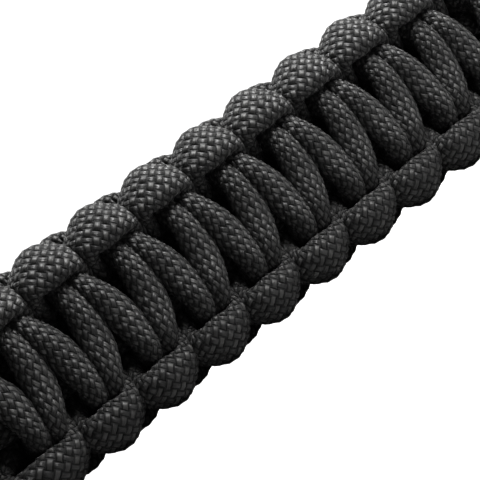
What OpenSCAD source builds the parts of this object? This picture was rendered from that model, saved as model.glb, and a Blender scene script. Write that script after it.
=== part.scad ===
// Bracelet of knotted cord, lying on its side.
// Two working strands are knotted round two core cords, and one plain clasp closes the loop.
// Lengths are in millimetres. The loop lies in the XY plane with its straight stretch towards -Y.

/* [Cord] */
// Diameter of the cord that makes the knots, before the knots squeeze it
cord_d = 4.0; // [3.2:0.1:5]
// Diameter of the two core cords inside the knots
core_d = 3.8; // [3:0.1:4.8]
// Space between a core cord and what lies next to it
core_gap = 0.2; // [0.1:0.05:0.5]
// Extra space between a core cord and the strands that cross it
strand_gap = 0.15; // [0.1:0.05:0.3]

/* [Knots] */
// Least distance from one crossing to the next, as a share of the cord's diameter
knot_pitch_share = 0.95; // [0.95:0.01:1.2]
// How far the edge bumps stand out from the core cords, as a share of the cord's diameter
bump_reach_share = 1.5; // [1.4:0.025:1.7]
// How far the middle of a crossing runs ahead of its two ends, as a share of the cord's diameter
crossing_lead_share = 0.5; // [0.4:0.02:0.5]

/* [Loop] */
// Length of the straight stretch at the front
front_len = 70; // [50:1:90]
// Radius of the two corners, at the middle of the band's thickness
corner_r = 13.5; // [12.5:0.5:20]
// Angle that each corner turns through
corner_turn = 127; // [110:1:140]

/* [Clasp] */
// Length of the clasp along the back of the loop
clasp_len = 42; // [30:1:46]
// Width of the clasp's body, along the loop's axis
clasp_w = 22; // [18:0.5:24]
// Thickness of the clasp's body
clasp_t = 8; // [7:0.5:10]
// Radius of the body's long edges
clasp_edge_r = 2; // [0.5:0.25:3]
// Length of each end sleeve that holds the core cords
sleeve_len = 6; // [4:0.5:9]
// Wall round the core cords in a sleeve
sleeve_wall = 1.5; // [1:0.1:2.5]
// Depth of each socket, from the sleeve's mouth
socket_depth = 9; // [5:0.5:12]
// Space round a core cord in its socket
socket_gap = 0.2; // [0.1:0.05:0.4]
// Space from the last bump to the clasp
end_gap = 0.6; // [0.4:0.1:2]

/* [Hidden] */
sides = 8;
round_fn = 96;
// how far inside the band's middle the knots keep their distance, as a share of half its thickness
knot_line_share = 0.75;
// rings of a core cord: round a corner, and along the back to the socket's mouth
corner_steps = 8;
back_steps = 4;

// One half of the strand's way from a crossing to the top of the next edge bump.
// along: from the crossing, as a share of the distance between crossings
// across: towards the edge, as a share of the bump's reach
// rise: above the middle of the band, as a share of the crossing's rise
// lean: turn of the section's first axis away from the face, in degrees
// high, deep: the section's two axes, as shares of the cord's diameter
route = [
    // along, across, rise, lean, high, deep
    [0.00, 0.00, 1.00, 0, 0.86, 0.98],
    [-0.16, 0.38, 1.04, 10, 0.85, 0.66],
    [-0.31, 0.65, 0.00, 42, 0.99, 0.35],
    [-0.22, 0.86, -0.76, 37, 1.38, 0.61],
    [0.50, 0.92, -0.94, 60, 1.50, 0.85]
];
ALONG = 0;
ACROSS = 1;
RISE = 2;
LEAN = 3;
HIGH = 4;
DEEP = 5;
top_row = len(route) - 1;

// sizes of the weave
flat_share = cos(180 / sides);
core_x = (core_d + core_gap) / 2;
core_half_w = core_x + core_d / 2;
crossing_rise = core_d / 2 + core_gap + route[0][HIGH] * cord_d / 2 * flat_share + strand_gap;
bump_reach = core_half_w + bump_reach_share * cord_d;
crossing_lead = crossing_lead_share * cord_d;
min_pitch = knot_pitch_share * cord_d;
band_half_t = crossing_rise + route[0][HIGH] * cord_d / 2 * flat_share;
band_half_w = bump_reach * route[top_row][ACROSS] + max([
    for (i = [0 : sides - 1])
        let (a = (i + 0.5) * 360 / sides, r = route[top_row])
        cord_d / 2 * (r[HIGH] * cos(a) * sin(r[LEAN]) - r[DEEP] * sin(a) * cos(r[LEAN]))
]);

// the loop: a straight front, two corners and one back arc
back_r = corner_r + front_len / 2 / sin(corner_turn);
back_turn = 180 - corner_turn;
// the knots keep their distance on a line nearer the wrist than the band's middle
knot_line = knot_line_share * band_half_t;
arc_drop = (back_r - corner_r) * cos(corner_turn);
front_y = (band_half_t - corner_r - arc_drop - back_r - clasp_t / 2) / 2;
corner_y = front_y + corner_r;
back_y = corner_y + arc_drop;

// places along the knot line, counted from the middle of the front
corner_from = front_len / 2;
back_from = corner_from + (corner_r - knot_line) * corner_turn * PI / 180;
clasp_half_turn = clasp_len / 2 / back_r * 180 / PI;
weave_end = back_from + (back_r - knot_line) * (back_turn - clasp_half_turn) * PI / 180 - end_gap;
// what the last crossing takes past its place
knot_tail = (crossing_lead + route[0][DEEP] * cord_d) / 2;
crossings = 1 + floor(2 * (weave_end - knot_tail) / min_pitch);
pitch = 2 * (weave_end - knot_tail) / (crossings - 1);

function unit(v) = v / norm(v);

// place in the loop of a point of the straightened band: along, across, out of its face
function on_front(s, w, n) = [s, front_y - n, band_half_w + w];
function on_corner(s, w, n) =
    let (a = (s - corner_from) / (corner_r - knot_line) * 180 / PI)
    [front_len / 2 + (corner_r + n) * sin(a), corner_y - (corner_r + n) * cos(a), band_half_w + w];
function on_back(s, w, n) =
    let (a = corner_turn + (s - back_from) / (back_r - knot_line) * 180 / PI)
    [(back_r + n) * sin(a), back_y - (back_r + n) * cos(a), band_half_w + w];
function on_side(s, w, n) =
    s < corner_from ? on_front(s, w, n) : s < back_from ? on_corner(s, w, n) : on_back(s, w, n);
function in_loop(p) =
    let (q = on_side(abs(p[0]), p[1], p[2]))
    [p[0] < 0 ? -q[0] : q[0], q[1], q[2]];

// the rows from one crossing up to the next: the route, and then its mirror image
steps = 2 * top_row;
function row_at(i) = i <= top_row ? route[i] : route[steps - i];
function along_at(i) = i <= top_row ? route[i][ALONG] : 1 - route[steps - i][ALONG];

// ring number k of a strand; face is 1 for the strand that crosses in front and -1 for the other
first_ring = -2;
last_ring = (crossings - 1) * steps + 2;
function knot_of(k) = floor(k / steps);
function edge_of(k, face) = (knot_of(k) % 2 == 0 ? 1 : -1) * face;
// how far a strand runs ahead of a plain zigzag at a share of the bump's reach;
// half of the lead is taken off all along, so that the weave stays centred
function lead_at(across) = crossing_lead * (0.5 - across * across);
function flat_point(k, face) =
    let (j = knot_of(k), i = k - j * steps, r = row_at(i))
    [
        (j + along_at(i) - (crossings - 1) / 2) * pitch + lead_at(r[ACROSS]),
        edge_of(k, face) * r[ACROSS] * bump_reach,
        face * r[RISE] * crossing_rise
    ];
function ring_centre(k, face) = in_loop(flat_point(k, face));
function ring_lean(k, face) =
    let (j = knot_of(k), i = k - j * steps, r = row_at(i), p = flat_point(k, face))
    unit(in_loop(p + [0, edge_of(k, face) * sin(r[LEAN]), face * cos(r[LEAN])]) - in_loop(p));

function ring_points(centres, k, face) =
    let (
        i = k - first_ring,
        n = len(centres),
        after = unit(centres[min(i + 1, n - 1)] - centres[min(i, n - 2)]),
        before = unit(centres[max(i, 1)] - centres[max(i - 1, 0)]),
        way = unit(after + before),
        lean = ring_lean(k, face),
        up = unit(lean - (lean * way) * way),
        side = cross(way, up),
        r = row_at(k - knot_of(k) * steps)
    )
    [
        for (q = [0 : sides - 1])
            let (a = (q + 0.5) * 360 / sides)
            centres[i] + cord_d / 2 * (r[HIGH] * cos(a) * up + r[DEEP] * sin(a) * side)
    ];

// a closed tube through rings of points, one ring after another
module tube(points, rings) {
    walls = [
        for (i = [0 : rings - 2], q = [0 : sides - 1])
            let (a = i * sides + q, b = i * sides + (q + 1) % sides)
            each [[a, a + sides, b + sides], [a, b + sides, b]]
    ];
    start_cap = [[for (q = [0 : sides - 1]) q]];
    end_cap = [[for (q = [0 : sides - 1]) (rings - 1) * sides + sides - 1 - q]];
    polyhedron(points = points, faces = concat(walls, start_cap, end_cap));
}

module strand(face) {
    centres = [for (k = [first_ring : last_ring]) ring_centre(k, face)];
    points = [for (k = [first_ring : last_ring]) each ring_points(centres, k, face)];
    tube(points, len(centres));
}

// an arc of a flat outline about an upright axis, from one angle to another
module arc_at(y, from, turn) {
    translate([0, y, band_half_w]) rotate([0, 0, from])
        rotate_extrude(angle = turn, $fn = 2 * round_fn) children();
}

// half of a core cord's ring places along the knot line, from the straight front to the socket
socket_mouth = weave_end + end_gap;
core_end = socket_mouth + (socket_depth - socket_gap) * (back_r - knot_line) / back_r;
core_places = concat(
    [for (i = [0 : corner_steps - 1]) corner_from + (back_from - corner_from) * i / corner_steps],
    [for (i = [0 : back_steps - 1]) back_from + (socket_mouth - back_from) * i / (back_steps - 1)],
    [core_end]
);

module core_cord(w) {
    half = len(core_places);
    places = concat([for (i = [half - 1 : -1 : 0]) -core_places[i]], core_places);
    points = [
        for (s = places, q = [0 : sides - 1])
            let (a = (q + 0.5) * 360 / sides)
            in_loop([s, w + core_d / 2 * cos(a), core_d / 2 * sin(a)])
    ];
    tube(points, len(places));
}

// flat outlines of the clasp, drawn round its middle line
module body_outline() {
    translate([back_r - clasp_t / 2, -clasp_w / 2 + clasp_edge_r])
        square([clasp_t, clasp_w - 2 * clasp_edge_r]);
    translate([back_r - clasp_t / 2 + clasp_edge_r, -clasp_w / 2])
        square([clasp_t - 2 * clasp_edge_r, clasp_w]);
    for (x = [-1, 1], y = [-1, 1])
        translate([back_r + x * (clasp_t / 2 - clasp_edge_r), y * (clasp_w / 2 - clasp_edge_r)])
            circle(r = clasp_edge_r, $fn = round_fn / 2);
}

module sleeve_outline() {
    sleeve_r = core_d / 2 + socket_gap + sleeve_wall;
    for (y = [-1, 1]) translate([back_r, y * core_x]) circle(r = sleeve_r, $fn = round_fn / 2);
    translate([back_r - sleeve_r, -core_x]) square([2 * sleeve_r, 2 * core_x]);
}

module front_strand() {
    color("#26262a") strand(1);
}

module back_strand() {
    color("#3a3a40") strand(-1);
}

module core_cords() {
    color("#1c1c20") for (w = [-1, 1]) core_cord(w * core_x);
}

module clasp() {
    sleeve_turn = sleeve_len / back_r * 180 / PI;
    socket_turn = socket_depth / back_r * 180 / PI;
    // how far the bores start outside the sleeve's mouth, in degrees
    past = 1;
    body_turn = clasp_half_turn - sleeve_turn;
    color("#18181a") difference() {
        union() {
            arc_at(back_y, 90 - body_turn, 2 * body_turn) body_outline();
            arc_at(back_y, 90 - clasp_half_turn, 2 * clasp_half_turn) sleeve_outline();
        }
        for (w = [-1, 1], from = [90 - clasp_half_turn - past, 90 + clasp_half_turn - socket_turn])
            arc_at(back_y, from, socket_turn + past) translate([back_r, w * core_x])
                circle(d = core_d + 2 * socket_gap, $fn = round_fn / 2);
    }
}

front_strand();
back_strand();
core_cords();
clasp();
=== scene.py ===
import math

import bmesh
import bpy
import numpy as np
from mathutils import Matrix, Vector


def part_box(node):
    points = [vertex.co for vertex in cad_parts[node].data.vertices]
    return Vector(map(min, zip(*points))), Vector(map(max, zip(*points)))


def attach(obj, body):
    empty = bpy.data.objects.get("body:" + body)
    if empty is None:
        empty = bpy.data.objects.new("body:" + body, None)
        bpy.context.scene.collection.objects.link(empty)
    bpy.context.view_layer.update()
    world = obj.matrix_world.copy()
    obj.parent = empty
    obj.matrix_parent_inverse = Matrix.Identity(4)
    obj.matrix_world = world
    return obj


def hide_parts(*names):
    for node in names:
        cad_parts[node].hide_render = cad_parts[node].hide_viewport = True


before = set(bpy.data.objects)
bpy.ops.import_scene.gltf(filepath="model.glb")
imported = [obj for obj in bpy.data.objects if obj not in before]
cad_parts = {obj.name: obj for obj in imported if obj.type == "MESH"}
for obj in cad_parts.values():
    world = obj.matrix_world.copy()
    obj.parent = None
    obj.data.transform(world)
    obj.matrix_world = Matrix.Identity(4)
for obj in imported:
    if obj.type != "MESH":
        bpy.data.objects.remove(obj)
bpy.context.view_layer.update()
MM = 0.001

# SIZES
# the bracelet in millimetres, as in the part's source
CORD_D = 4.0
CORE_D = 3.8
CORE_GAP = 0.2
STRAND_GAP = 0.15
KNOT_PITCH_SHARE = 0.95
BUMP_REACH_SHARE = 1.5
SOLID_LEAD_SHARE = 0.5
FRONT_LEN = 70.0
CORNER_R = 13.5
CORNER_TURN = math.radians(127)
CLASP_LEN = 42.0
CLASP_T = 8.0
SOCKET_DEPTH = 9.0
SOCKET_GAP = 0.2
END_GAP = 0.6
KNOT_LINE_SHARE = 0.75
SOLID_SIDES = 8

# the soft cords lean into their crossings a little more than the solids
CROSSING_LEAD_SHARE = 0.6

# one half of a strand's way, from a crossing to the top of the next edge bump
# along, across and rise are shares; lean is in degrees; high and deep are the section's two axes,
# fuller than the solids' so that the soft cords fill the knot
ROUTE = [
    (0.00, 0.00, 1.00, 0, 0.86, 0.98),
    (-0.16, 0.38, 1.04, 10, 0.90, 0.76),
    (-0.31, 0.65, 0.00, 42, 1.50, 0.74),
    (-0.16, 0.86, -0.76, 37, 1.40, 0.74),
    (0.50, 0.92, -0.94, 60, 1.50, 0.84),
]
ALONG, ACROSS, RISE, LEAN, HIGH, DEEP = range(6)
TOP_ROW = len(ROUTE) - 1
ROWS_PER_CROSSING = 2 * TOP_ROW
# rows that a strand goes on beyond its first and last crossing, and a core cord's rows in all
TAIL_ROWS = 2
CORE_ROWS = 90

# steps in millimetres: between the points that measure a cord's outer side, and for reading directions
FINE_STEP = 0.05
SMALL_STEP = 0.01

flat_share = math.cos(math.pi / SOLID_SIDES)
crossing_half_t = ROUTE[0][HIGH] * CORD_D / 2 * flat_share
core_x = (CORE_D + CORE_GAP) / 2
crossing_rise = CORE_D / 2 + CORE_GAP + crossing_half_t + STRAND_GAP
bump_reach = core_x + CORE_D / 2 + BUMP_REACH_SHARE * CORD_D
band_half_t = crossing_rise + crossing_half_t
band_half_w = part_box("front_strand")[1].z / 2 / MM
back_r = CORNER_R + FRONT_LEN / 2 / math.sin(CORNER_TURN)
back_turn = math.pi - CORNER_TURN
knot_line = KNOT_LINE_SHARE * band_half_t
arc_drop = (back_r - CORNER_R) * math.cos(CORNER_TURN)
front_y = (band_half_t - CORNER_R - arc_drop - back_r - CLASP_T / 2) / 2
corner_y = front_y + CORNER_R
back_y = corner_y + arc_drop
corner_from = FRONT_LEN / 2
back_from = corner_from + (CORNER_R - knot_line) * CORNER_TURN
clasp_half_turn = CLASP_LEN / 2 / back_r
weave_end = back_from + (back_r - knot_line) * (back_turn - clasp_half_turn) - END_GAP
knot_tail = (SOLID_LEAD_SHARE + ROUTE[0][DEEP]) / 2 * CORD_D
crossings = 1 + math.floor(2 * (weave_end - knot_tail) / (KNOT_PITCH_SHARE * CORD_D))
pitch = 2 * (weave_end - knot_tail) / (crossings - 1)
core_end = weave_end + END_GAP + (SOCKET_DEPTH - SOCKET_GAP) * (back_r - knot_line) / back_r

# THE BRAIDED SHEATH
# picks round the cord, a pick's length along it and its pillow's relief in millimetres,
# and how rounded the pillow is
PICKS_ROUND = 11
PICK_LEN = 1.38
RELIEF = 0.11
PILLOW_POWER = 0.6
PILLOW_LEVEL = 0.5
# points closer than this, in metres, become one where the sheath closes
MERGE_DISTANCE = 2e-6

# a yarn's width as a share of the yarns' spacing
YARN_WIDTH = 0.68
# how sharply a pick dives at its ends and rounds off along its sides, and the sides' share of its height
ARCH_POWER = 0.55
BAR_POWER = 0.35
BAR_SHARE = 0.4
# painted shade in the gaps: how far it reaches into a pick, how dark it is along its sides, and how
# sharp
GAP_REACH = 0.15
SIDE_GAP_SHARE = 0.9
GAP_POWER = 0.5
# threads along a pick: steps of noise along it, across it and from cell to cell,
# the threads' height, and their share of the pick's shade
THREADS_ALONG = 0.8
THREADS_ACROSS = 9.0
THREAD_CELL_STEPS = (3.7, 5.3)
THREAD_HEIGHT = 0.2
THREAD_SHADE = 0.5

# the darkest and the lightest picks of each cord; one yarn family is painted darker, a painted sheen
# that stands in for the light its fibres catch, and the gaps get painted shade, nearly black
CORD_SHADES = ((0.003, 0.003, 0.0029), (0.076, 0.075, 0.0725))
CORE_SHADES = ((0.020, 0.020, 0.020), (0.035, 0.034, 0.033))
FAMILY_PAINTED_SHEEN = (0.60, 0.60, 0.61)
GAP_PAINTED_SHADE = (0.002, 0.002, 0.0022)
PICK_ROUGHNESS = 0.48
GAP_ROUGHNESS = 1.0
BRAID_BUMP = 0.50 * MM
PLASTIC_BUMP = 0.03 * MM


# CORD ROUTES

def in_loop(p):
    """Places of the straightened band (along, across, out of its face) in the loop, in mm."""
    s, w, n = np.abs(p[:, 0]), p[:, 1], p[:, 2]
    corner = (s - corner_from) / (CORNER_R - knot_line)
    back = CORNER_TURN + (s - back_from) / (back_r - knot_line)
    stretches = [s < corner_from, s < back_from, np.full(len(s), True)]
    x = np.select(
        stretches,
        [s, FRONT_LEN / 2 + (CORNER_R + n) * np.sin(corner), (back_r + n) * np.sin(back)],
    )
    y = np.select(
        stretches,
        [front_y - n, corner_y - (CORNER_R + n) * np.cos(corner), back_y - (back_r + n) * np.cos(back)],
    )
    return np.stack([np.where(p[:, 0] < 0, -x, x), y, band_half_w + w], 1)


def unit(v):
    return v / np.linalg.norm(v, axis=1, keepdims=True)


def run_length(points):
    """The length of a line of points up to each of them."""
    return np.concatenate([[0], np.cumsum(np.linalg.norm(np.diff(points, axis=0), axis=1))])


def smooth_through(t, values, places):
    """A smooth curve with continuous bend through values at t, read at the given places."""
    h = np.diff(t)
    n = len(t)
    slopes = np.diff(values, axis=0) / h[:, None]
    system = np.zeros((n, n))
    right = np.zeros_like(values)
    system[0, 0] = system[-1, -1] = 1
    right[0], right[-1] = slopes[0], slopes[-1]
    for i in range(1, n - 1):
        system[i, i - 1] = h[i]
        system[i, i] = 2 * (h[i - 1] + h[i])
        system[i, i + 1] = h[i - 1]
        right[i] = 3 * (h[i] * slopes[i - 1] + h[i - 1] * slopes[i])
    d = np.linalg.solve(system, right)
    k = np.clip(np.searchsorted(t, places, side="right") - 1, 0, n - 2)
    hk = h[k][:, None]
    u = (places - t[k])[:, None] / hk
    return (
        (1 + 2 * u) * (1 - u) ** 2 * values[k]
        + u * (1 - u) ** 2 * hk * d[k]
        + u * u * (3 - 2 * u) * values[k + 1]
        + u * u * (u - 1) * hk * d[k + 1]
    )


def strand_rows(face):
    """A strand's rows from end to end: its place in the band, the section's lean, and its axes."""
    rows = []
    for k in range(-TAIL_ROWS, (crossings - 1) * ROWS_PER_CROSSING + TAIL_ROWS + 1):
        j, i = divmod(k, ROWS_PER_CROSSING)
        r = ROUTE[i] if i <= TOP_ROW else ROUTE[ROWS_PER_CROSSING - i]
        along = r[ALONG] if i <= TOP_ROW else 1 - r[ALONG]
        lead = CROSSING_LEAD_SHARE * CORD_D * (0.5 - r[ACROSS] ** 2)
        edge = (1 if j % 2 == 0 else -1) * face
        lean = math.radians(r[LEAN])
        rows.append(
            (
                (j + along - (crossings - 1) / 2) * pitch + lead,
                edge * r[ACROSS] * bump_reach,
                face * r[RISE] * crossing_rise,
                edge * math.sin(lean),
                face * math.cos(lean),
                r[HIGH],
                r[DEEP],
            )
        )
    return np.array(rows)


def core_rows(across):
    """The rows of one core cord, a plain line from socket to socket."""
    return np.array([(s, across, 0, 0, 1, 1, 1) for s in np.linspace(-core_end, core_end, CORE_ROWS)])


def sections(t, rows, places, diameter):
    """The cord's middle at the given places, and its section's two half axes there, in mm."""
    v = smooth_through(t, rows, places)
    centre = in_loop(v[:, :3])
    leant = unit(np.stack([np.zeros(len(v)), v[:, 3], v[:, 4]], 1))
    lean = in_loop(v[:, :3] + SMALL_STEP * leant) - centre
    way = unit(np.gradient(centre, axis=0))
    up = unit(lean - (lean * way).sum(1, keepdims=True) * way)
    return centre, up * (v[:, 5:6] * diameter / 2), np.cross(way, up) * (v[:, 6:7] * diameter / 2)


def route_rings(rows, diameter):
    """Rings half a pick apart along the cord's outer side, the one away from the band's middle."""
    t = run_length(rows[:, :3])
    fine = np.linspace(0, t[-1], int(t[-1] / FINE_STEP))
    centre, up, side = sections(t, rows, fine, diameter)
    drawn = smooth_through(t, rows, fine)[:, :3]
    away = unit(drawn * [0, 1 / bump_reach, 1 / crossing_rise])
    outward = unit(in_loop(drawn + SMALL_STEP * away) - centre)
    reach_up = (up * outward).sum(1, keepdims=True) * up
    reach = reach_up + (side * outward).sum(1, keepdims=True) * side
    outer = centre + reach / np.sqrt((reach * outward).sum(1, keepdims=True))
    length = run_length(outer)
    count = 2 * int(length[-1] / PICK_LEN) + 1
    places = np.interp(np.linspace(0, length[-1], count), length, fine)
    return [part * MM for part in sections(t, rows, places, diameter)]


def linked(name, mesh):
    """A new object of the mesh, in the scene."""
    obj = bpy.data.objects.new(name, mesh)
    bpy.context.scene.collection.objects.link(obj)
    return obj


def route_object(name, centre, up, side):
    """A line of points that carries each ring's two half axes, for the sheath's node tree."""
    mesh = bpy.data.meshes.new(name)
    mesh.from_pydata(centre.tolist(), [(i, i + 1) for i in range(len(centre) - 1)], [])
    for label, values in (("up_axis", up), ("side_axis", side)):
        layer = mesh.attributes.new(label, "FLOAT_VECTOR", "POINT")
        layer.data.foreach_set("vector", values.astype(np.float32).ravel())
    return linked(name, mesh)


# NODE TREES

class Graph:
    """Adds nodes to a node tree and joins them."""

    def __init__(self, tree):
        self.nodes, self.links = tree.nodes, tree.links

    def node(self, kind, **settings):
        made = self.nodes.new(kind)
        for key, value in settings.items():
            setattr(made, key, value)
        return made

    def put(self, socket, value):
        """Gives a socket a plain value, or a link from another socket."""
        if isinstance(value, bpy.types.NodeSocket):
            self.links.new(value, socket)
        else:
            socket.default_value = value

    def made(self, kind, inputs, output=0, **settings):
        """One output of a new node whose inputs are given."""
        node = self.node(kind, **settings)
        for key, value in inputs.items():
            self.put(node.inputs[key], value)
        return node.outputs[output]

    def sums(self, operation, *values):
        return self.made("ShaderNodeMath", dict(enumerate(values)), operation=operation)

    def add(self, a, b):
        return self.sums("ADD", a, b)

    def less(self, a, b):
        return self.sums("SUBTRACT", a, b)

    def times(self, a, b):
        return self.sums("MULTIPLY", a, b)

    def choice(self, mask, a, b):
        """a where the mask is 1, and b where it is 0."""
        return self.add(self.times(a, mask), self.times(b, self.less(1.0, mask)))

    def vectors(self, operation, *values, output=0):
        return self.made("ShaderNodeVectorMath", dict(enumerate(values)), output, operation=operation)

    def scaled(self, vector, scale):
        return self.made("ShaderNodeVectorMath", {0: vector, "Scale": scale}, operation="SCALE")

    def vector(self, x, y, z=0.0):
        return self.made("ShaderNodeCombineXYZ", {"X": x, "Y": y, "Z": z})

    def x_and_y(self, vector):
        apart = self.node("ShaderNodeSeparateXYZ")
        self.put(apart.inputs[0], vector)
        return apart.outputs["X"], apart.outputs["Y"]

    def mapped(self, value, **limits):
        """The value moved from one range to another; the limits' names have _ for a space."""
        inputs = {key.replace("_", " "): limit for key, limit in limits.items()}
        return self.made("ShaderNodeMapRange", {0: value, **inputs})

    def mixed(self, share, a, b, blend_type="MIX"):
        """Colour a, with the given share of colour b."""
        inputs = {0: share, 6: a, 7: (*b, 1)}
        return self.made("ShaderNodeMix", inputs, 2, data_type="RGBA", blend_type=blend_type)

    def ramp(self, value, stops):
        made = self.node("ShaderNodeValToRGB")
        self.put(made.inputs[0], value)
        for element, (place, colour) in zip(made.color_ramp.elements, stops):
            element.position = place
            element.color = (*colour, 1)
        return made.outputs["Color"]

    def bump(self, height, distance, strength):
        inputs = {"Height": height, "Distance": distance, "Strength": strength}
        return self.made("ShaderNodeBump", inputs)


def sheath_tree():
    """Builds a braided sheath round a line of points: a tube with one low pillow for each pick."""
    tree = bpy.data.node_groups.new("braided sheath", "GeometryNodeTree")
    inputs = (("Route", "Geometry"), ("Picks round", "Int"), ("Relief", "Float"), ("Sheath", "Material"))
    for label, kind in inputs:
        tree.interface.new_socket(label, in_out="INPUT", socket_type="NodeSocket" + kind)
    tree.interface.new_socket("Geometry", in_out="OUTPUT", socket_type="NodeSocketGeometry")
    g = Graph(tree)
    given = g.node("NodeGroupInput").outputs
    position = g.node("GeometryNodeInputPosition").outputs[0]

    # a sheet with two columns for each pick round the cord and one row for each ring
    rings = g.made(
        "GeometryNodeAttributeDomainSize", {"Geometry": given["Route"]}, "Point Count", component="MESH"
    )
    last = g.less(rings, 1.0)
    columns = g.add(g.times(given["Picks round"], 2.0), 1.0)
    sheet = g.made(
        "GeometryNodeMeshGrid",
        {"Size X": 1.0, "Size Y": 1.0, "Vertices X": columns, "Vertices Y": rings},
        "Mesh",
    )
    x, y = g.x_and_y(position)
    around = g.add(x, 0.5)
    ring = g.sums("ROUND", g.times(g.add(y, 0.5), last))

    # the sheath's own map counts picks along the cord and round it
    u = g.times(ring, 0.5)
    v = g.times(around, given["Picks round"])
    chart = g.made(
        "GeometryNodeStoreNamedAttribute",
        {"Geometry": sheet, "Name": "UVMap", "Value": g.vector(v, u)},
        data_type="FLOAT2",
        domain="CORNER",
    )

    def at_ring(field):
        inputs = {"Geometry": given["Route"], "Value": field, "Index": ring}
        return g.made("GeometryNodeSampleIndex", inputs, data_type="FLOAT_VECTOR", domain="POINT")

    def named(label):
        kind = "GeometryNodeInputNamedAttribute"
        return g.made(kind, {"Name": label}, "Attribute", data_type="FLOAT_VECTOR")

    centre, up, side = at_ring(position), at_ring(named("up_axis")), at_ring(named("side_axis"))

    # points are even round the section's edge, also where it is flattened
    even = g.times(around, 2 * math.pi)
    high, deep = g.vectors("LENGTH", up, output="Value"), g.vectors("LENGTH", side, output="Value")
    flat = g.sums("DIVIDE", g.less(high, deep), g.times(g.add(high, deep), 2.0))
    angle = g.add(even, g.times(flat, g.sums("SINE", g.times(even, 2.0))))
    out = g.vectors(
        "ADD", g.scaled(up, g.sums("COSINE", angle)), g.scaled(side, g.sums("SINE", angle))
    )

    # a pick's middle stands out and its corners lie low
    one = g.sums("ABSOLUTE", g.sums("SINE", g.times(g.add(u, v), math.pi)))
    two = g.sums("ABSOLUTE", g.sums("SINE", g.times(g.less(u, v), math.pi)))
    pillow = g.less(g.sums("POWER", g.times(one, two), PILLOW_POWER), PILLOW_LEVEL)
    proud = g.scaled(g.vectors("NORMALIZE", out), g.times(pillow, given["Relief"]))

    # both ends close to a point
    inner = g.times(
        g.sums("GREATER_THAN", ring, 0.5), g.sums("LESS_THAN", ring, g.less(last, 0.5))
    )
    reach = g.scaled(g.vectors("ADD", out, proud), inner)
    tube = g.made(
        "GeometryNodeSetPosition", {"Geometry": chart, "Position": g.vectors("ADD", centre, reach)}
    )
    closed = g.made("GeometryNodeMergeByDistance", {"Geometry": tube, "Distance": MERGE_DISTANCE})
    smooth = g.made("GeometryNodeSetShadeSmooth", {"Geometry": closed})
    real = g.made("GeometryNodeRealizeInstances", {"Geometry": smooth})
    dressed = g.made("GeometryNodeSetMaterial", {"Geometry": real, "Material": given["Sheath"]})
    g.put(g.node("NodeGroupOutput").inputs[0], dressed)
    return tree


def set_inputs(modifier, **values):
    """Sets a modifier's named inputs by their identifiers."""
    sockets = modifier.node_group.interface.items_tree
    ids = {s.name: s.identifier for s in sockets if s.item_type == "SOCKET"}
    for name, value in values.items():
        modifier[ids[name.replace("_", " ")]] = value


def finished(source, name):
    """A plain mesh of the source's evaluated shape; the source goes."""
    bpy.context.view_layer.update()
    evaluated = source.evaluated_get(bpy.context.evaluated_depsgraph_get())
    mesh = bpy.data.meshes.new_from_object(evaluated)
    bpy.data.objects.remove(source)
    mesh.name = name
    return linked(name, mesh)


def sheathed(name, rings, tree, material):
    """A cord in its braided sheath, along the given rings."""
    source = route_object(name + "_route", *rings)
    modifier = source.modifiers.new("sheath", "NODES")
    modifier.node_group = tree
    set_inputs(modifier, Picks_round=PICKS_ROUND, Relief=RELIEF * MM, Sheath=material)
    return finished(source, name)


def joined(name, parts):
    """One piece of several parts that share a material."""
    shape = bmesh.new()
    for part in parts:
        shape.from_mesh(part.data)
    mesh = parts[0].data.copy()
    mesh.name = name
    shape.to_mesh(mesh)
    shape.free()
    for part in parts:
        bpy.data.objects.remove(part)
    return linked(name, mesh)


# MATERIALS

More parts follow.
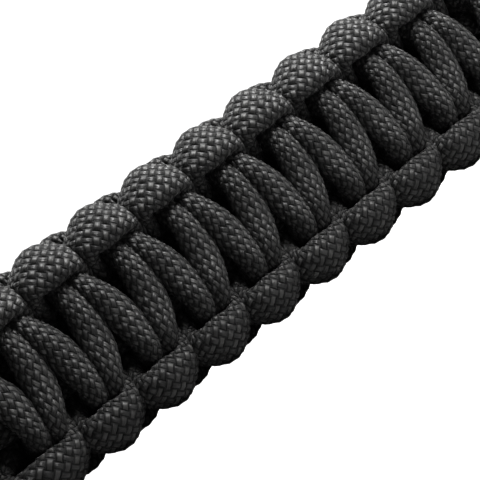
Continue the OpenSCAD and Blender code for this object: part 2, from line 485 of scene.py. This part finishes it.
def braid_group():
    """From the sheath's own map: a pick's height, its yarn family, the gaps round it, and its shade."""
    group = bpy.data.node_groups.new("braid pattern", "ShaderNodeTree")
    group.interface.new_socket("Map", in_out="INPUT", socket_type="NodeSocketVector")
    for label in ("Height", "Yarn", "Gap", "Patch"):
        group.interface.new_socket(label, in_out="OUTPUT", socket_type="NodeSocketFloat")
    g = Graph(group)
    result = g.node("NodeGroupOutput").inputs
    v, u = g.x_and_y(g.node("NodeGroupInput").outputs["Map"])

    # the two yarn families cross; each is the upper one in every other cell
    p, q = g.add(u, v), g.less(u, v)
    place_p, place_q = g.sums("FRACT", p), g.sums("FRACT", q)
    cell_p, cell_q = g.sums("FLOOR", p), g.sums("FLOOR", q)
    parity = g.sums("ABSOLUTE", g.sums("MODULO", g.add(cell_p, cell_q), 2.0))
    second = g.sums("GREATER_THAN", parity, 0.5)
    length = g.choice(second, place_q, place_p)
    width = g.choice(second, place_p, place_q)

    # yarns are narrower than their spacing: beside the upper one the lower one comes out,
    # so that each pick shows longer than wide
    over = g.sums("LESS_THAN", g.sums("ABSOLUTE", g.less(width, 0.5)), YARN_WIDTH / 2)
    way = g.less(1.0, g.times(g.sums("GREATER_THAN", width, 0.5), 2.0))
    along = g.choice(over, length, g.add(width, way))
    across = g.choice(over, width, length)
    family = g.choice(over, second, g.less(1.0, second))
    margin = (1 - YARN_WIDTH) / 2
    length = g.sums("DIVIDE", g.add(along, margin), 1 + 2 * margin)
    width = g.sums("DIVIDE", g.less(across, margin), YARN_WIDTH)
    width = g.sums("MAXIMUM", g.sums("MINIMUM", width, 1.0), 0.0)

    def rounded(value, power):
        """0 at both edges of a pick and 1 at its middle"""
        wave = g.sums("MAXIMUM", g.sums("SINE", g.times(value, math.pi)), 0.0)
        return g.sums("POWER", wave, power)

    def near_edge(value):
        """1 at a pick's edge, and 0 from the gap's reach inwards"""
        inside = g.less(0.5, g.sums("ABSOLUTE", g.less(value, 0.5)))
        falling = g.less(1.0, g.sums("MINIMUM", g.sums("DIVIDE", inside, GAP_REACH), 1.0))
        return g.sums("POWER", falling, GAP_POWER)

    # a pick dives under its neighbours at both ends and rounds off a little along its sides
    sides = g.add(g.times(rounded(width, BAR_POWER), BAR_SHARE), 1 - BAR_SHARE)
    pillow = g.times(rounded(length, ARCH_POWER), sides)

    # fine threads that run along each pick, others in every cell
    step_p, step_q = THREAD_CELL_STEPS
    cell_place = g.add(g.times(cell_p, step_p), g.times(cell_q, step_q))
    grain = g.vector(g.times(length, THREADS_ALONG), g.times(width, THREADS_ACROSS), cell_place)
    threads = g.made(
        "ShaderNodeTexNoise", {"Vector": grain, "Scale": 1.0, "Detail": 1.5}, noise_dimensions="3D"
    )
    # each pick is a little lighter or darker than the next
    number = g.made(
        "ShaderNodeTexWhiteNoise", {"Vector": g.vector(cell_p, cell_q)}, "Value", noise_dimensions="2D"
    )
    g.put(result["Height"], g.add(pillow, g.times(threads, THREAD_HEIGHT)))
    g.put(result["Yarn"], g.less(1.0, family))
    g.put(
        result["Gap"],
        g.sums("MAXIMUM", near_edge(length), g.times(near_edge(width), SIDE_GAP_SHARE)),
    )
    g.put(
        result["Patch"], g.add(g.times(number, 1 - THREAD_SHADE), g.times(threads, THREAD_SHADE))
    )
    return group


def new_material(name):
    """A new material, the graph of its nodes, and its shader's inputs."""
    material = bpy.data.materials.new(name)
    material.use_nodes = True
    graph = Graph(material.node_tree)
    return material, graph, graph.nodes["Principled BSDF"].inputs


def sheath_material(name, braid, low, high):
    """Braided nylon whose picks lie between the two given colours."""
    material, g, shader = new_material(name)
    pattern = g.node("ShaderNodeGroup", node_tree=braid)
    g.put(pattern.inputs["Map"], g.node("ShaderNodeUVMap", uv_map="UVMap").outputs[0])
    height, family, gap, patch = (pattern.outputs[s] for s in ("Height", "Yarn", "Gap", "Patch"))
    # painted sheen: one yarn family is painted darker, standing in for how its fibres catch the light
    yarn = g.mixed(family, g.ramp(patch, [(0.0, low), (1.0, high)]), FAMILY_PAINTED_SHEEN, "MULTIPLY")
    # painted shade: the gaps where picks dive under their neighbours are painted nearly black
    g.put(shader["Base Color"], g.mixed(gap, yarn, GAP_PAINTED_SHADE))
    # the gaps between picks don't shine
    g.put(shader["Roughness"], g.mapped(gap, To_Min=PICK_ROUGHNESS, To_Max=GAP_ROUGHNESS))
    g.put(shader["Normal"], g.bump(height, BRAID_BUMP, 1.0))
    shader["Specular IOR Level"].default_value = 0.42
    shader["Sheen Weight"].default_value = 0.03
    shader["Sheen Roughness"].default_value = 0.5
    return material


def plastic_material():
    """Fine matt black plastic for the clasp."""
    material, g, shader = new_material("matt black moulded plastic")
    place = g.node("ShaderNodeTexCoord").outputs["Object"]
    grain = g.made("ShaderNodeTexNoise", {"Vector": place, "Scale": 2600, "Detail": 3})
    black = g.ramp(grain, [(0.3, (0.010, 0.010, 0.011)), (0.7, (0.020, 0.020, 0.021))])
    g.put(shader["Base Color"], black)
    g.put(shader["Normal"], g.bump(grain, PLASTIC_BUMP, 0.5))
    shader["Roughness"].default_value = 0.5
    return material


# THE BRACELET

braid = braid_group()
cord_black = sheath_material("black braided cord", braid, *CORD_SHADES)
core_black = sheath_material("black braided core cord", braid, *CORE_SHADES)
tree = sheath_tree()

for node_name, side_of_band in (("front_strand", 1), ("back_strand", -1)):
    rings = route_rings(strand_rows(side_of_band), CORD_D)
    piece = sheathed("braided_" + node_name, rings, tree, cord_black)
    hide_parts(node_name)
    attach(piece, "root")

cores = joined(
    "braided_core_cords",
    [
        sheathed("core", route_rings(core_rows(side * core_x), CORE_D), tree, core_black)
        for side in (-1, 1)
    ],
)
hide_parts("core_cords")
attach(cores, "root")

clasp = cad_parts["clasp"]
clasp.data.materials.clear()
clasp.data.materials.append(plastic_material())


# FLOOR, LIGHT AND CAMERA

def floor_material():
    """A pale floor that the camera sees white, and that gives the cords less light from nearby."""
    material, g, shader = new_material("pale floor")
    place = g.node("ShaderNodeTexCoord").outputs["Object"]
    reach = g.vectors("LENGTH", place, output="Value")
    far = g.mapped(reach, From_Min=0.1, From_Max=1.4, To_Min=0.04, To_Max=1.0)
    seen = g.node("ShaderNodeLightPath").outputs["Is Camera Ray"]
    g.put(shader["Emission Color"], g.sums("MAXIMUM", far, seen))
    shader["Emission Strength"].default_value = 1.0
    shader["Base Color"].default_value = (0.3, 0.3, 0.3, 1)
    shader["Roughness"].default_value = 0.7
    return material


def studio_world():
    """White to the camera, and nearly dark to the bracelet, which the lights below light."""
    world = bpy.data.worlds.new("studio")
    world.use_nodes = True
    g = Graph(world.node_tree)
    background = g.nodes["Background"].inputs
    background["Color"].default_value = (1, 1, 1, 1)
    seen = g.node("ShaderNodeLightPath").outputs["Is Camera Ray"]
    g.put(background["Strength"], g.mapped(seen, To_Min=0.01, To_Max=1.0))
    return world


def area_light(name, place, target, size, power):
    """A square light that looks at the target; metres and watts."""
    light = bpy.data.lights.new(name, "AREA")
    light.shape = "RECTANGLE"
    light.size = light.size_y = size
    light.energy = power
    obj = linked(name, light)
    obj.location = place
    obj.rotation_euler = (Vector(target) - Vector(place)).to_track_quat("-Z", "Y").to_euler()
    obj.visible_camera = False


def aimed_camera(place, azimuth, elevation, roll, focal_px, picture_px, sensor_mm):
    """A camera at the place, turned by the angles in degrees; azimuth 0 looks along +Y."""
    data = bpy.data.cameras.new("camera")
    data.sensor_width = sensor_mm
    data.lens = focal_px * sensor_mm / picture_px
    data.clip_start = 0.005
    a, e = math.radians(azimuth), math.radians(elevation)
    ahead = Vector((math.sin(a) * math.cos(e), math.cos(a) * math.cos(e), math.sin(e)))
    camera = linked("camera", data)
    camera.matrix_world = (
        Matrix.Translation(place)
        @ ahead.to_track_quat("-Z", "Y").to_matrix().to_4x4()
        @ Matrix.Rotation(math.radians(-roll), 4, "Z")
    )
    return camera


bpy.ops.mesh.primitive_plane_add(size=6, location=(0, 0, 0))
floor = bpy.context.object
floor.name = "floor"
floor.data.materials.append(floor_material())

FRONT_TARGET = (0, -0.02, 0.01)
BACK_TARGET = (0, 0.02, 0.01)
area_light("top light", (0.14, -0.01, 0.30), FRONT_TARGET, 0.12, 1.55)
area_light("near light", (0.06, -0.08, 0.14), FRONT_TARGET, 0.06, 0.46)
area_light("side light", (0.30, -0.22, 0.08), FRONT_TARGET, 0.15, 0.05)
area_light("back light", (-0.20, 0.34, 0.16), BACK_TARGET, 0.30, 1.0)

scene = bpy.context.scene
scene.world = studio_world()
scene.view_settings.view_transform = "Standard"
scene.view_settings.look = "Medium High Contrast"
scene.camera = aimed_camera(
    place=(-0.05502, -0.17294, 0.0145),
    azimuth=19.14,
    elevation=-1.57,
    roll=37.51,
    focal_px=1400,
    picture_px=480,
    sensor_mm=36,
)
